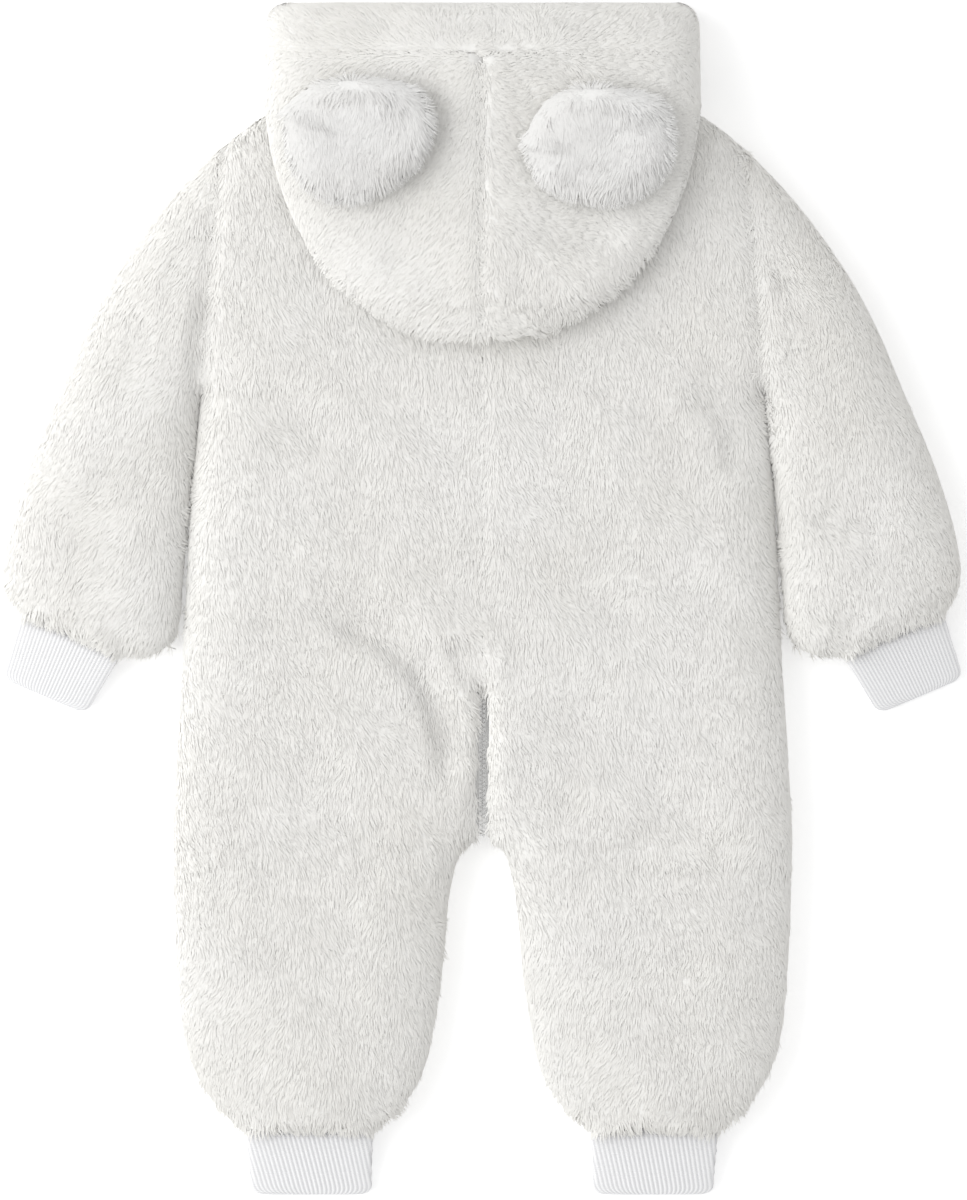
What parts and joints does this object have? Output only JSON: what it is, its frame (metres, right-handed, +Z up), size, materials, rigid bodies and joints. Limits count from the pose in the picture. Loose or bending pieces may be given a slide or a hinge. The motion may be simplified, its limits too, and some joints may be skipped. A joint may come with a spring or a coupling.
{
  "type": "baby snowsuit",
  "caption": "Long-pile fleece baby snowsuit laid flat on its front, with its hood folded back, two round ears, ribbed cuffs and a zip that runs round the crotch.",
  "frame": {"origin": "on the surface that the suit lies on, below the middle of its outline", "axes": "+X toward the wearer's right side, +Y toward the head, +Z up out of the back"},
  "size_m": [0.5468, 0.6794, 0.0793],
  "materials": {
    "fleece": "off-white long-pile fleece",
    "ear_fleece": "white fleece, a little shorter in the pile",
    "rib_knit": "white ribbed knit",
    "zip_tape": "white woven tape",
    "zip_plastic": "white plastic"
  },
  "bodies": {
    "suit": {"back_left": "fleece", "back_right": "fleece", "front_left": "fleece", "front_right": "fleece", "sleeve_left": "fleece", "sleeve_right": "fleece", "hood_left": "fleece", "hood_right": "fleece", "hood_band": "fleece", "ear_left_front": "ear_fleece", "ear_left_back": "ear_fleece", "ear_right_front": "ear_fleece", "ear_right_back": "ear_fleece", "cuff_leg_left": "rib_knit", "cuff_leg_right": "rib_knit", "cuff_sleeve_left": "rib_knit", "cuff_sleeve_right": "rib_knit", "zip_tape_left": "zip_tape", "zip_tape_right": "zip_tape", "zip_chain": "zip_plastic", "zip_slider": "zip_plastic"},
    "pull_tab": {"zip_pull": "zip_plastic"}
  },
  "joints": [
    {"name": "pull_tab_swing", "type": "hinge", "parent": "suit", "child": "pull_tab", "pos_m": [0, 0.238, 0.0088], "axis": [1, 0, 0], "range_deg": [-15, 150]}
  ]
}
